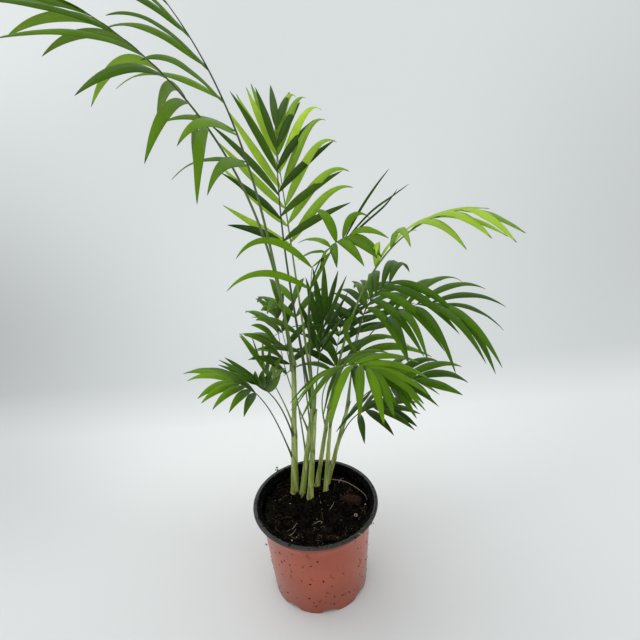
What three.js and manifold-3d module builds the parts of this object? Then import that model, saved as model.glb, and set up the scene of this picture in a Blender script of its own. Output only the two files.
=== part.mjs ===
// Parlour palm in a nursery pot: six sheathed stems with arching fronds, each a stalk and a thin blade.
// Millimetres, +Z up, origin at the centre of the pot's flat underside.
import * as THREE from 'three';
import { ConvexGeometry } from 'three/addons/geometries/ConvexGeometry.js';
import { mergeVertices } from 'three/addons/utils/BufferGeometryUtils.js';
import Module from 'manifold-3d';

const wasm = await Module();
wasm.setup();

const clearance = 0.35; // air kept between neighbouring solids
const finest = 0.02; // slivers smaller than this are tidied away after a cut

const pot = {
  height: 103,
  rimRadius: 60,
  shoulderRadius: 53,
  baseRadius: 46.5,
  wall: 1.3,
  floor: 1.6,
  rimBand: 2.4,
  rimRound: 0.8,
  notches: 8,
  notchTurn: 7, // degrees from +X to the first notch between two feet
  notchWidth: 17,
  notchHeight: 3.5,
  notchDepth: 6,
  drains: 6,
  drainRadius: 4,
  drainCircle: 28,
  segments: 36,
};

const soil = {
  level: 93, // mean height of the surface, about a centimetre below the rim
  hump: 1.6,
  ripple: 0.8,
  rings: [0.84, 0.62, 0.36], // rings of the uneven top, as parts of its radius
  segments: 28,
};

const stemForm = {
  sides: 10,
  steps: 6,
  flare: 0.12, // extra radius at the foot, as a part of the radius
  flareReach: 7,
  taper: 0.56, // part of the radius lost from foot to tip, soonest near the foot
  sunk: 2.5, // depth of the flat foot under the soil surface
};

// Feet on the soil, lean from upright, length and radius of each stem. Headings turn from +X towards +Y.
const stems = {
  a: { x: -20, y: 25.5, heading: 0, tilt: 4, height: 150, radius: 4 },
  b: { x: -12.5, y: 21, heading: 20, tilt: 10, height: 112, radius: 3.2 },
  c: { x: -5, y: 15.5, heading: 0, tilt: 6, height: 105, radius: 3.5 },
  d: { x: 3, y: 32, heading: 0, tilt: 10, height: 96, radius: 2.9 },
  e: { x: 11, y: 22.5, heading: 340, tilt: 6, height: 85, radius: 2.7 },
  f: { x: 14, y: 35, heading: 342, tilt: 14, height: 105, radius: 2.6 },
};

const stalkForm = {
  sides: 6,
  stepLength: 22,
  fewest: 4, // steps in the shortest stalk
  footRadius: 1.7,
  tipRadius: 0.8,
  inset: 0.4, // how far a foot reaches into its stem before it is trimmed back
};

const bladeForm = {
  thickness: 0.9,
  rowLength: 18,
  fewest: 3, // rows in a short stretch of blade
  columns: [-1, -0.5, 0, 0.5, 1], // from the tips of one row of leaves to the tips of the other
  axisSteps: 24,
  leafSteps: 6,
  shortest: 0.72, // leaf length at the ends of a blade, as a part of the longest
};

// Where each frond leaves its stem (at, along it, and side, around it), the way its axis goes
// (heading and veer, rise less arch, sooner or later by power), the lengths of stalk, blade and
// longest leaf, and the roll of the whole blade about its axis.
// The right and the left row each have the sweep of their leaves from the axis at the two ends of
// the blade, their lift out of the blade and their droop, which sets in late where hang is high.
const fronds = {
  a1: {
    stem: 'a', at: 144, side: 150, heading: 187, veer: -7, rise: 88, arch: 52, power: 1.7,
    petiole: 224, blade: 107, leaf: 106, hang: 0.5, roll: -3, parts: 2,
    right: { sweep: [41, 8], lift: 21, droop: [1.9, 0.7] },
    left: { sweep: [63, 8], lift: 9, droop: [1.3, 0.6] },
  },
  a2: {
    stem: 'a', at: 150, side: 199, heading: 203, veer: -11, rise: 85, arch: 27, power: 2.7,
    petiole: 184, blade: 122, leaf: 98, hang: 1.5, roll: -17, parts: 2,
    right: { sweep: [77, 8], lift: -22, droop: [1, 1] },
    left: { sweep: [58, 8], lift: -45, droop: [1.1, 0.6] },
  },
  c5: {
    stem: 'c', at: 95, side: 200, heading: 345, veer: 7, rise: 89, arch: 7, power: 2.2,
    petiole: 134, blade: 20, leaf: 98, hang: 1.5, roll: -25, parts: 1,
    right: { sweep: [40, 56], lift: 10, droop: [0.2, 0.2] },
    left: { sweep: [65, 50], lift: 60, droop: [1.6, 1.6] },
  },
  b1: {
    stem: 'b', at: 102, side: 250, heading: 107, veer: -23, rise: 78, arch: 39, power: 0.5,
    petiole: 157, blade: 129, leaf: 90, hang: 0.4, roll: -14, parts: 1,
    right: { sweep: [52, 8], lift: 24, droop: [0.5, 0.5] },
    left: { sweep: [73, 8], lift: 45, droop: [0.5, 0.5] },
  },
  d1: {
    stem: 'd', at: 96, side: 322, heading: 322, veer: -11, rise: 76, arch: 58, power: 2.4,
    petiole: 165, blade: 101, leaf: 64, hang: 0.5, roll: 5, parts: 2,
    right: { sweep: [28, 22], lift: 60, droop: [1.2, 1.2] },
    left: { sweep: [30, 8], lift: 60, droop: [1, 1] },
  },
  e1: {
    stem: 'e', at: 85, side: 350, heading: 349, veer: -1, rise: 73, arch: 88, power: 2.9,
    petiole: 121, blade: 59, leaf: 98, hang: 1.1, roll: -1, parts: 2,
    right: { sweep: [51, 58], lift: 22, droop: [1.3, 1.3] },
    left: { sweep: [60, 29], lift: 9, droop: [1.1, 1.1] },
  },
  a5: {
    stem: 'a', at: 46, side: 200, heading: 202, veer: -2, rise: 76, arch: 43, power: 3.1,
    petiole: 89, blade: 27, leaf: 61, hang: 1.2, roll: -1, parts: 1,
    right: { sweep: [33, 29], lift: -2, droop: [1, 1] },
    left: { sweep: [52, 25], lift: -7, droop: [0.6, 0.6] },
  },
  f2: {
    stem: 'f', at: 70, side: 350, heading: -24, veer: -5, rise: 75, arch: 62, power: 1.2,
    petiole: 62, blade: 47, leaf: 69, hang: 1.4, roll: 0, parts: 1,
    right: { sweep: [99, 23], lift: 10, droop: [0.3, 0.3] },
    left: { sweep: [84, 30], lift: 10, droop: [1.2, 1.2] },
  },
  b2: {
    stem: 'b', at: 112, side: 84, heading: 96, veer: -1, rise: 52, arch: 13, power: 1.5,
    petiole: 150, blade: 121, leaf: 96, hang: 2.9, roll: -8, parts: 1,
    right: { sweep: [52, 22], lift: 43, droop: [1.2, 1.2] },
    left: { sweep: [63, 15], lift: 28, droop: [0, 0] },
  },
  c1: {
    stem: 'c', at: 105, side: 330, heading: 331, veer: 3, rise: 91, arch: 71, power: 3.8,
    petiole: 162, blade: 28, leaf: 42, hang: 0.4, roll: -18, parts: 1,
    right: { sweep: [45, 17], lift: 50, droop: [1.2, 1.2] },
    left: { sweep: [93, 42], lift: 60, droop: [1.2, 1.2] },
  },
  d2: {
    stem: 'd', at: 70, side: 320, heading: 337, veer: 4, rise: 100, arch: 112, power: 1.7,
    petiole: 70, blade: 41, leaf: 89, hang: 0.4, roll: -15, parts: 2,
    right: { sweep: [60, 60], lift: 60, droop: [1, 1] },
    left: { sweep: [71, 8], lift: 60, droop: [1.4, 1.4] },
  },
  f1: {
    stem: 'f', at: 105, side: 345, heading: 347, veer: 0, rise: 84, arch: 50, power: 3.3,
    petiole: 102, blade: 33, leaf: 91, hang: 0.7, roll: -21, parts: 1,
    right: { sweep: [51, 29], lift: 7, droop: [1.1, 1.1] },
    left: { sweep: [59, 60], lift: 9, droop: [1.4, 1.4] },
  },
  b3: {
    stem: 'b', at: 75, side: 150, heading: 160, veer: -2, rise: 73, arch: -27, power: 1.9,
    petiole: 64, blade: 73, leaf: 77, hang: 0.4, roll: -9, parts: 1,
    right: { sweep: [66, 26], lift: -37, droop: [1.3, 1.3] },
    left: { sweep: [19, 36], lift: -2, droop: [0.7, 0.7] },
  },
  c2: {
    stem: 'c', at: 84, side: 60, heading: 38, veer: 0, rise: 84, arch: 10, power: 1.2,
    petiole: 78, blade: 34, leaf: 60, hang: 1.2, roll: 0, parts: 1,
    right: { sweep: [34, 8], lift: 8, droop: [0.15, 0.15] },
    left: { sweep: [36, 10], lift: 8, droop: [0.2, 0.2] },
  },
  f3: {
    stem: 'f', at: 31, side: 10, heading: -7, veer: -8, rise: 77, arch: 75, power: 2.3,
    petiole: 63, blade: 26, leaf: 51, hang: 1.1, roll: 3, parts: 1,
    right: { sweep: [68, 18], lift: 3, droop: [0.7, 0.7] },
    left: { sweep: [49, 15], lift: -9, droop: [0.9, 0.9] },
  },
  a4: {
    stem: 'a', at: 72, side: 235, heading: 229, veer: -1, rise: 75, arch: 30, power: 1.8,
    petiole: 71, blade: 20, leaf: 45, hang: 1.6, roll: -3, parts: 1,
    right: { sweep: [57, 15], lift: 21, droop: [0.4, 0.4] },
    left: { sweep: [37, 18], lift: 27, droop: [0.2, 0.2] },
  },
  a3: {
    stem: 'a', at: 84, side: 140, heading: 169, veer: 3, rise: 77, arch: 13, power: 1,
    petiole: 50, blade: 20, leaf: 47, hang: 1.5, roll: -26, parts: 1,
    right: { sweep: [56, 25], lift: 7, droop: [0.5, 0.5] },
    left: { sweep: [54, 23], lift: 32, droop: [0.4, 0.4] },
  },
  c3: {
    stem: 'c', at: 58, side: 285, heading: 306, veer: 8, rise: 90, arch: 90, power: 1.8,
    petiole: 124, blade: 40, leaf: 64, hang: 0.8, roll: 0, parts: 1,
    right: { sweep: [100, 30], lift: 30, droop: [1.7, 1.5] },
    left: { sweep: [85, 15], lift: 20, droop: [1.3, 1.3] },
  },
  c4: {
    stem: 'c', at: 66, side: 120, heading: 95, veer: 0, rise: 70, arch: 40, power: 1.6,
    petiole: 88, blade: 52, leaf: 54, hang: 1.2, roll: 3, parts: 1,
    right: { sweep: [60, 20], lift: 12, droop: [0.8, 0.8] },
    left: { sweep: [60, 20], lift: 12, droop: [0.8, 0.8] },
  },
  b4: {
    stem: 'b', at: 46, side: 110, heading: 104, veer: 0, rise: 76, arch: 40, power: 1.6,
    petiole: 92, blade: 48, leaf: 48, hang: 1.4, roll: 0, parts: 1,
    right: { sweep: [58, 20], lift: 4, droop: [0.7, 0.7] },
    left: { sweep: [58, 20], lift: 4, droop: [0.7, 0.7] },
  },
  f4: {
    stem: 'f', at: 88, side: 60, heading: 66, veer: 0, rise: 60, arch: 56, power: 1.8,
    petiole: 80, blade: 62, leaf: 58, hang: 1.1, roll: -3, parts: 1,
    right: { sweep: [58, 20], lift: 8, droop: [0.9, 0.9] },
    left: { sweep: [58, 20], lift: 8, droop: [0.9, 0.9] },
  },
  e2: {
    stem: 'e', at: 50, side: 80, heading: 72, veer: 0, rise: 70, arch: 50, power: 1.6,
    petiole: 84, blade: 52, leaf: 54, hang: 1.2, roll: 0, parts: 1,
    right: { sweep: [58, 20], lift: 6, droop: [0.8, 0.8] },
    left: { sweep: [58, 20], lift: 6, droop: [0.8, 0.8] },
  },
};

const colours = { clay: '#b9634a', soil: '#251c17', stem: '#a9b873', stalk: '#4d6a2b', blade: '#3f7a1c' };

const up = new THREE.Vector3(0, 0, 1);
const radians = THREE.MathUtils.degToRad;

const direction = (heading, rise) => new THREE.Vector3(
  Math.cos(radians(rise)) * Math.cos(radians(heading)),
  Math.cos(radians(rise)) * Math.sin(radians(heading)),
  Math.sin(radians(rise)),
);

function solidOf(geometry) {
  geometry.deleteAttribute('normal');
  geometry.deleteAttribute('uv');
  const merged = mergeVertices(geometry, 1e-4);
  return new wasm.Manifold(new wasm.Mesh({
    numProp: 3,
    vertProperties: Float32Array.from(merged.attributes.position.array),
    triVerts: Uint32Array.from(merged.index.array),
  }));
}

function geometryOf(solid) {
  const mesh = solid.getMesh();
  const geometry = new THREE.BufferGeometry();
  geometry.setAttribute('position', new THREE.BufferAttribute(mesh.vertProperties, 3));
  geometry.setIndex(new THREE.BufferAttribute(mesh.triVerts, 1));
  geometry.computeVertexNormals();
  return geometry;
}

function mapVertices(geometry, place) {
  const position = geometry.attributes.position;
  const vertex = new THREE.Vector3();
  for (let i = 0; i < position.count; i += 1) {
    const moved = place(vertex.fromBufferAttribute(position, i));
    position.setXYZ(i, moved.x, moved.y, moved.z);
  }
  return geometry;
}

// A closed outline of radius and height, turned round the upright axis.
function turned(outline, segments) {
  const points = outline.map(([radius, height]) => new THREE.Vector2(radius, height));
  return new THREE.LatheGeometry(points, segments).rotateX(Math.PI / 2);
}

function boxesMeet(one, other) {
  const [a, b] = [one.boundingBox(), other.boundingBox()];
  return [0, 1, 2].every((k) => a.min[k] <= b.max[k] && b.min[k] <= a.max[k]);
}

// Cuts a solid back from those that were placed before it, and keeps its largest piece.
function trimmed(solid, keepOuts) {
  const near = keepOuts.filter((other) => boxesMeet(solid, other));
  const cut = near.reduce((left, other) => left.subtract(other), solid);
  const pieces = cut.asOriginal().simplify(finest).decompose();
  return pieces.reduce((best, piece) => (piece.volume() > best.volume() ? piece : best));
}

// ---- pot and soil

function insideRadius(height) {
  const outside = THREE.MathUtils.mapLinear(height, 0, pot.height, pot.baseRadius, pot.shoulderRadius);
  return outside - pot.wall;
}

function potSolid() {
  const bandFoot = pot.height - pot.rimBand;
  let shell = solidOf(turned([
    [0, 0],
    [pot.baseRadius, 0],
    [pot.shoulderRadius, bandFoot],
    [pot.rimRadius, bandFoot + 0.5],
    [pot.rimRadius, pot.height - pot.rimRound],
    [pot.rimRadius - pot.rimRound, pot.height],
    [insideRadius(pot.height) + pot.rimRound, pot.height],
    [insideRadius(pot.height), pot.height - pot.rimRound],
    [insideRadius(bandFoot), bandFoot],
    [insideRadius(pot.floor), pot.floor],
    [0, pot.floor],
  ], pot.segments));
  for (let i = 0; i < pot.notches; i += 1) {
    const notch = new THREE.BoxGeometry(pot.notchDepth * 2, pot.notchWidth, pot.notchHeight * 2);
    notch.translate(pot.baseRadius, 0, 0);
    notch.rotateZ(radians(pot.notchTurn) + i * 2 * Math.PI / pot.notches);
    shell = shell.subtract(solidOf(notch));
  }
  for (let i = 0; i < pot.drains; i += 1) {
    const drain = new THREE.CylinderGeometry(pot.drainRadius, pot.drainRadius, pot.floor * 4, 12);
    drain.rotateX(Math.PI / 2);
    drain.translate(pot.drainCircle, 0, 0);
    drain.rotateZ(i * 2 * Math.PI / pot.drains);
    shell = shell.subtract(solidOf(drain));
  }
  return shell;
}

function soilHeight(x, y) {
  const hump = soil.hump * Math.sin(0.09 * x + 0.7) * Math.cos(0.08 * y);
  const ripple = soil.ripple * Math.sin(0.31 * x + 0.24 * y);
  return soil.level + hump + ripple;
}

function soilSolid(stemSockets) {
  const foot = pot.floor + clearance;
  const footRadius = insideRadius(foot) - clearance;
  const topRadius = insideRadius(soil.level - soil.hump - soil.ripple) - clearance;
  const body = turned([
    [0, foot],
    [footRadius, foot],
    [topRadius, soil.level],
    ...soil.rings.map((part) => [part * topRadius, soil.level]),
    [0, soil.level],
  ], soil.segments);
  mapVertices(body, (vertex) => {
    if (vertex.z > foot + 1) vertex.z = soilHeight(vertex.x, vertex.y);
    return vertex;
  });
  return trimmed(solidOf(body), stemSockets);
}

// ---- tubes along a path

// A tapering tube: the path and the radius are functions of the part of the length gone, 0 to 1.
function tube(pathAt, radiusAt, sides, steps) {
  const column = new THREE.CylinderGeometry(1, 1, 1, sides, steps);
  mapVertices(column, (vertex) => {
    const part = vertex.y + 0.5;
    const { point, side, normal } = pathAt(part);
    const radius = radiusAt(part);
    return point.clone().addScaledVector(side, vertex.x * radius).addScaledVector(normal, vertex.z * radius);
  });
  return solidOf(column);
}

// ---- stems

function stemPoint(stem, along) {
  const lean = direction(stem.heading, 90 - stem.tilt);
  return new THREE.Vector3(stem.x, stem.y, soil.level).addScaledVector(lean, along);
}

function stemRadius(stem, along) {
  const taper = 1 - stemForm.taper * Math.sqrt(Math.max(0, along) / stem.height);
  const flare = stemForm.flare * Math.exp(-Math.max(0, along) / stemForm.flareReach);
  return stem.radius * (taper + flare);
}

// The foot is a flat, level cut: the first ring is pressed into one level plane.
function stemSolid(stem, extra) {
  const lean = direction(stem.heading, 90 - stem.tilt);
  const side = new THREE.Vector3().crossVectors(lean, new THREE.Vector3(0, 1, 0)).normalize();
  const normal = new THREE.Vector3().crossVectors(side, lean);
  const reach = stem.height + stemForm.sunk;
  // rings crowd towards the foot, where the flare is
  const alongAt = (part) => reach * part ** 1.5 - stemForm.sunk - extra;
  const pathAt = (part) => ({
    point: stemPoint(stem, alongAt(part) + (part === 1 ? 2 * extra : 0)),
    side,
    normal,
  });
  const radiusAt = (part) => stemRadius(stem, alongAt(part)) + extra;
  const column = tube(pathAt, radiusAt, stemForm.sides, stemForm.steps);
  const level = soil.level - stemForm.sunk - extra;
  const ground = new THREE.BoxGeometry(80, 80, 20).translate(stem.x, stem.y, level - 10);
  return column.subtract(solidOf(ground));
}

// ---- fronds

// The axis of a frond, as points at even steps with the tangent, side and upper face at each.
function frondAxis(frond) {
  const stem = stems[frond.stem];
  const length = frond.petiole + frond.blade;
  const steps = bladeForm.axisSteps;
  const onTip = frond.at >= stem.height;
  const reach = onTip ? 0 : stemRadius(stem, frond.at) - stalkForm.inset;
  const point = stemPoint(stem, frond.at).addScaledVector(direction(frond.side, 0), reach);
  const riseAt = (part) => frond.rise - frond.arch * part ** frond.power;
  const turn = (part) => direction(frond.heading + frond.veer * part, riseAt(part));
  const stations = [];
  for (let i = 0; i <= steps; i += 1) {
    const tangent = turn(i / steps);
    const level = direction(frond.heading + frond.veer * i / steps - 90, 0);
    const side = level.addScaledVector(tangent, -level.dot(tangent)).normalize();
    side.applyAxisAngle(tangent, radians(-frond.roll));
    const normal = new THREE.Vector3().crossVectors(side, tangent);
    stations.push({ point: point.clone(), tangent, side, normal });
    point.addScaledVector(turn((i + 0.5) / steps), length / steps);
  }
  return { length, stations };
}

function axisAt(axis, along) {
  const steps = axis.stations.length - 1;
  const place = THREE.MathUtils.clamp(along / axis.length, 0, 1) * steps;
  const index = Math.min(Math.floor(place), steps - 1);
  const [near, far] = [axis.stations[index], axis.stations[index + 1]];
  const mix = (key) => near[key].clone().lerp(far[key], place - index);
  return {
    point: mix('point'),
    tangent: mix('tangent').normalize(),
    side: mix('side').normalize(),
    normal: mix('normal').normalize(),
  };
}

// A point of the leaf that leaves the axis at part q of the blade, at part u of the leaf's length.
function leafPoint(frond, axis, q, hand, u, extra) {
  const { point, tangent, side, normal } = axisAt(axis, frond.petiole + frond.blade * q);
  const row = hand > 0 ? frond.right : frond.left;
  const sweep = radians(THREE.MathUtils.lerp(row.sweep[0], row.sweep[1], q));
  const lift = radians(row.lift);
  const droop = THREE.MathUtils.lerp(row.droop[0], row.droop[1], q);
  const outward = side.clone().multiplyScalar(hand * Math.cos(lift)).addScaledVector(normal, Math.sin(lift));
  const start = tangent.clone().multiplyScalar(Math.cos(sweep)).addScaledVector(outward, Math.sin(sweep));
  const swell = Math.sin(Math.PI * (0.15 + 0.8 * q));
  const length = frond.leaf * (bladeForm.shortest + (1 - bladeForm.shortest) * swell) + extra;
  const steps = bladeForm.leafSteps;
  const heading = start.clone();
  for (let i = 0; i < Math.round(u * steps); i += 1) {
    const part = (i + 0.5) / steps;
    heading.copy(start).addScaledVector(up, -droop * part ** frond.hang).normalize();
    point.addScaledVector(heading, length / steps);
  }
  return point;
}

// A stretch of the blade from part q0 to part q1, as a thin plate folded along the axis. It is joined
// from prisms on three corners each, so it stays sound where hanging leaves pass over one another.
function bladeSolid(frond, axis, q0, q1, extra) {
  const rows = Math.max(bladeForm.fewest, Math.round(frond.blade * (q1 - q0) / bladeForm.rowLength));
  const ends = extra / frond.blade;
  const half = bladeForm.thickness / 2 + extra;
  const middle = Array.from({ length: rows + 1 }, (_, row) => {
    const q = THREE.MathUtils.lerp(q0 - ends, q1 + ends, row / rows);
    return bladeForm.columns.map((across) => (
      leafPoint(frond, axis, q, Math.sign(across) || 1, Math.abs(across), extra)));
  });
  const last = bladeForm.columns.length - 1;
  const grid = middle.map((line, row) => line.map((point, column) => {
    const [back, ahead] = [middle[Math.max(row - 1, 0)], middle[Math.min(row + 1, rows)]];
    const along = ahead[column].clone().sub(back[column]);
    const across = line[Math.min(column + 1, last)].clone().sub(line[Math.max(column - 1, 0)]);
    const face = across.cross(along).normalize();
    return [half, -half].map((offset) => point.clone().addScaledVector(face, offset));
  }));
  const prisms = [];
  for (let row = 0; row < rows; row += 1) {
    for (let column = 0; column < last; column += 1) {
      const [a, b] = grid[row].slice(column, column + 2);
      const [d, c] = grid[row + 1].slice(column, column + 2);
      prisms.push([...a, ...b, ...c], [...a, ...c, ...d]);
    }
  }
  return wasm.Manifold.union(prisms.map((corners) => solidOf(new ConvexGeometry(corners))));
}

function stalkSolid(frond, axis, from, to, extra) {
  const pathAt = (part) => axisAt(axis, THREE.MathUtils.lerp(from - extra, to + extra, part));
  const radiusAt = (part) => {
    const gone = THREE.MathUtils.lerp(from, to, part) / frond.petiole;
    return THREE.MathUtils.lerp(stalkForm.footRadius, stalkForm.tipRadius, gone) + extra;
  };
  const steps = Math.max(stalkForm.fewest, Math.round((to - from) / stalkForm.stepLength));
  return tube(pathAt, radiusAt, stalkForm.sides, steps);
}

// ---- the plant

const group = new THREE.Group();

function add(name, solid, colour, roughness) {
  const material = new THREE.MeshStandardMaterial({ color: colour, roughness, metalness: 0 });
  const mesh = new THREE.Mesh(geometryOf(solid), material);
  mesh.name = name;
  group.add(mesh);
}

const stemSolids = Object.values(stems).map((stem) => stemSolid(stem, 0));
const stemKeepOuts = Object.values(stems).map((stem) => stemSolid(stem, clearance));

add('pot', potSolid(), colours.clay, 0.55);
add('soil', soilSolid(stemKeepOuts), colours.soil, 0.95);
Object.keys(stems).forEach((name, i) => add(`stem_${name}`, stemSolids[i], colours.stem, 0.5));

const stretches = (length, parts, gap) => Array.from({ length: parts }, (_, i) => [
  length * i / parts + (i > 0 ? gap / 2 : 0),
  length * (i + 1) / parts - (i < parts - 1 ? gap / 2 : 0),
]);

const partName = (name, kind, parts, i) => `frond_${name}_${kind}${parts > 1 ? ['_near', '_far'][i] : ''}`;

const keepOuts = [...stemKeepOuts];
const longStalk = 170; // a stalk longer than this is made in two lengths

for (const [name, frond] of Object.entries(fronds)) {
  frond.axis = frondAxis(frond);
  const parts = frond.petiole > longStalk ? 2 : 1;
  const placed = [];
  stretches(frond.petiole, parts, clearance).forEach(([from, to], i) => {
    const foot = i === 0 ? clearance : 0;
    const stalk = trimmed(stalkSolid(frond, frond.axis, from + foot, to, 0), keepOuts);
    add(partName(name, 'stalk', parts, i), stalk, colours.stalk, 0.5);
    placed.push(stalkSolid(frond, frond.axis, from, to, clearance));
  });
  keepOuts.push(...placed);
}

for (const [name, frond] of Object.entries(fronds)) {
  const placed = [];
  stretches(1, frond.parts, 2 * clearance / frond.blade).forEach(([from, to], i) => {
    const foot = i === 0 ? clearance / frond.blade : 0;
    const blade = trimmed(bladeSolid(frond, frond.axis, from + foot, to, 0), keepOuts);
    add(partName(name, 'blade', frond.parts, i), blade, colours.blade, 0.45);
    placed.push(blade, bladeSolid(frond, frond.axis, from, to, clearance));
  });
  keepOuts.push(...placed);
}

export default group;
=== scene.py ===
import math
import random

import bmesh
import bpy
import numpy as np
from mathutils import Matrix, Vector, noise


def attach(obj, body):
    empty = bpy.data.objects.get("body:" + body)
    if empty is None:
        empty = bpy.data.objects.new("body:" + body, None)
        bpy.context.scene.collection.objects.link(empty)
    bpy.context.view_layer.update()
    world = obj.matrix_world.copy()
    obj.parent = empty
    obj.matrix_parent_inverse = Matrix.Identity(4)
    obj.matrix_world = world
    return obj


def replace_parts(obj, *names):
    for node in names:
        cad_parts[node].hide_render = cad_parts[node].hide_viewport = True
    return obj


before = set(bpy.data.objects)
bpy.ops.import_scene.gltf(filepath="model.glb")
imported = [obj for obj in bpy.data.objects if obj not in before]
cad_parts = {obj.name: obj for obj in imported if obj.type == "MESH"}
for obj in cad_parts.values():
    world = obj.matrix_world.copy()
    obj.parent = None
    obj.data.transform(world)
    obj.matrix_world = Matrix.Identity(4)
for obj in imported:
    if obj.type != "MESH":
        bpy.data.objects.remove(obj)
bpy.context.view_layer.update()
scene = bpy.context.scene
mm = 0.001
print("stage: frame loaded")


def makeNode(tree, kind, **settings):
    node = tree.nodes.new(kind)
    for key, value in settings.items():
        setattr(node, key, value)
    return node


def startMaterial(name):
    material = bpy.data.materials.new(name)
    material.use_nodes = True
    tree = material.node_tree
    shader = tree.nodes["Principled BSDF"]
    return material, tree, shader


def mixColours(tree, factor, first, second, blend="MIX"):
    mix = makeNode(tree, "ShaderNodeMix", data_type="RGBA", blend_type=blend)
    for socket, value in ((mix.inputs[0], factor), (mix.inputs[6], first), (mix.inputs[7], second)):
        if isinstance(value, bpy.types.NodeSocket):
            tree.links.new(value, socket)
        else:
            socket.default_value = value if isinstance(value, (int, float)) else (*value, 1)
    return mix.outputs[2]


def doMath(tree, operation, *values):
    node = makeNode(tree, "ShaderNodeMath", operation=operation)
    for socket, value in zip(node.inputs, values):
        if isinstance(value, bpy.types.NodeSocket):
            tree.links.new(value, socket)
        else:
            socket.default_value = value
    return node.outputs[0]


def mapRange(tree, value, low, high, newLow=0.0, newHigh=1.0):
    node = makeNode(tree, "ShaderNodeMapRange")
    tree.links.new(value, node.inputs[0])
    for socket, number in zip(list(node.inputs)[1:5], (low, high, newLow, newHigh)):
        socket.default_value = number
    return node.outputs[0]


def readAttribute(tree, name):
    return makeNode(tree, "ShaderNodeAttribute", attribute_name=name).outputs["Fac"]


def objectPlace(tree):
    return makeNode(tree, "ShaderNodeTexCoord").outputs["Object"]


def objectAxes(tree):
    split = makeNode(tree, "ShaderNodeSeparateXYZ")
    tree.links.new(objectPlace(tree), split.inputs[0])
    return split.outputs


def useGroup(tree, group, **values):
    node = makeNode(tree, "ShaderNodeGroup", node_tree=group)
    for key, value in values.items():
        node.inputs[key].default_value = value
    return node.outputs[0]


def bumpNormal(tree, height, strength, distance):
    bump = makeNode(tree, "ShaderNodeBump")
    bump.inputs["Strength"].default_value = strength
    bump.inputs["Distance"].default_value = distance
    tree.links.new(height, bump.inputs["Height"])
    return bump.outputs["Normal"]


def finishPiece(name, mesh, materials):
    piece = bpy.data.objects.new(name, mesh)
    scene.collection.objects.link(piece)
    for material in materials:
        mesh.materials.append(material)
    mesh.shade_smooth()
    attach(piece, "root")
    return piece


def meshFrom(bm, name, outward=True):
    if outward:
        bmesh.ops.recalc_face_normals(bm, faces=bm.faces)
    mesh = bpy.data.meshes.new(name)
    bm.to_mesh(mesh)
    bm.free()
    return mesh


def pieceFrom(name, bm, slotName, *materials):
    return finishPiece(name, meshFrom(bm, name), materials)


def pourInto(target, *sources):
    # adds each bmesh to the target bmesh and frees it
    for source in sources:
        holder = bpy.data.meshes.new("holder")
        source.to_mesh(holder)
        source.free()
        target.from_mesh(holder)
        bpy.data.meshes.remove(holder)


def heading(turn, rise):
    turn, rise = math.radians(turn), math.radians(rise)
    return np.array([math.cos(rise) * math.cos(turn), math.cos(rise) * math.sin(turn), math.sin(rise)])


def unit(vector):
    return vector / np.linalg.norm(vector, axis=-1, keepdims=True)


def onCircle(radius, angle):
    return radius * math.cos(angle), radius * math.sin(angle)


def startGroup(name, output, **numbers):
    # an effect with named number inputs and one output, shared by several materials
    group = bpy.data.node_groups.new(name, "ShaderNodeTree")
    face = group.interface
    for label, number in numbers.items():
        face.new_socket(name=label, in_out="INPUT", socket_type="NodeSocketFloat").default_value = number
    face.new_socket(name=output, in_out="OUTPUT", socket_type="NodeSocketFloat")
    return group, makeNode(group, "NodeGroupInput"), makeNode(group, "NodeGroupOutput")


def seededNoise(group, inside, detail):
    cloud = makeNode(group, "ShaderNodeTexNoise", noise_dimensions="4D")
    cloud.inputs["Detail"].default_value = detail
    group.links.new(objectPlace(group), cloud.inputs["Vector"])
    group.links.new(inside.outputs["Scale"], cloud.inputs["Scale"])
    group.links.new(inside.outputs["Seed"], cloud.inputs["W"])
    return cloud.outputs["Fac"]


def speckleGroup():
    # sharp-edged specks, more of them the higher the amount
    group, inside, outside = startGroup("speckle", "Mask", Scale=300.0, Amount=0.5, Seed=0.0)
    edge = doMath(group, "SUBTRACT", 0.78, doMath(group, "MULTIPLY", inside.outputs["Amount"], 0.4))
    above = doMath(group, "SUBTRACT", seededNoise(group, inside, 2), edge)
    mask = makeNode(group, "ShaderNodeMath", operation="MULTIPLY", use_clamp=True)
    group.links.new(above, mask.inputs[0])
    mask.inputs[1].default_value = 14
    group.links.new(mask.outputs[0], outside.inputs["Mask"])
    return group


def grainGroup():
    # soft clouds, or a fine grain at a high scale
    group, inside, outside = startGroup("grain", "Value", Scale=200.0, Seed=0.0)
    group.links.new(seededNoise(group, inside, 4), outside.inputs["Value"])
    return group


def streakGroup():
    # upright streaks, longer the smaller the stretch
    group, inside, outside = startGroup("streak", "Value", Scale=240.0, Stretch=0.1, Detail=2.0)
    stretch = makeNode(group, "ShaderNodeCombineXYZ")
    stretch.inputs["X"].default_value = stretch.inputs["Y"].default_value = 1
    group.links.new(inside.outputs["Stretch"], stretch.inputs["Z"])
    stretched = makeNode(group, "ShaderNodeVectorMath", operation="MULTIPLY")
    group.links.new(objectPlace(group), stretched.inputs[0])
    group.links.new(stretch.outputs["Vector"], stretched.inputs[1])
    cloud = makeNode(group, "ShaderNodeTexNoise")
    group.links.new(stretched.outputs["Vector"], cloud.inputs["Vector"])
    for label in ("Scale", "Detail"):
        group.links.new(inside.outputs[label], cloud.inputs[label])
    group.links.new(cloud.outputs["Fac"], outside.inputs["Value"])
    return group


speckle = speckleGroup()
grain = grainGroup()
streak = streakGroup()


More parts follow.
